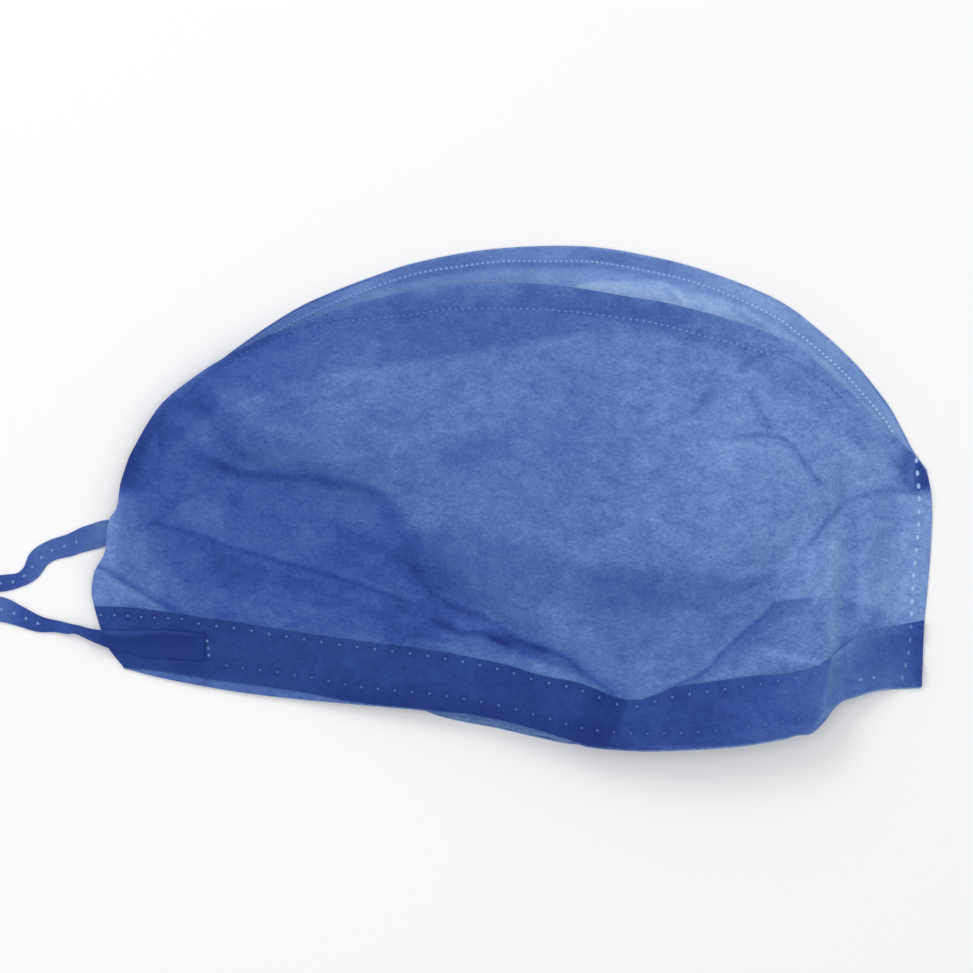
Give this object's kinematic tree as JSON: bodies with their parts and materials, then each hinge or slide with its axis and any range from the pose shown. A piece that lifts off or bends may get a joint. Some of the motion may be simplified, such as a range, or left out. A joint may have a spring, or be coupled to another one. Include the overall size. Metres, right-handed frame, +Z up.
{
  "type": "disposable surgical cap",
  "caption": "Tie-back theatre cap of thin blue nonwoven cloth, lying flat on its side, with half-moon side panels, an inward-folded crown strip, welded hem bands and flat ties.",
  "frame": {"origin": "on the table, under the middle of the cap's bounding box as it lies", "axes": "+X towards the forehead, +Y towards the crown, +Z up from the table; the wearer's right side is on top"},
  "size_m": [0.3307, 0.1763, 0.0301],
  "materials": {
    "panel_cloth": "thin translucent bonded cloth, matt, cloudy with fine fibres",
    "strip_cloth": "the same cloth in a single ply, lighter",
    "band_cloth": "the same cloth folded to several plies, darker, with rows of weld dots",
    "tie_cloth": "the same cloth folded into a flat ribbon, with a row of weld dots"
  },
  "bodies": {
    "root": {"right_side_panel": "panel_cloth", "left_side_panel": "panel_cloth", "crown_strip": "strip_cloth", "right_hem_band": "band_cloth", "left_hem_band": "band_cloth", "right_tie": "tie_cloth", "left_tie": "tie_cloth"}
  },
  "joints": []
}
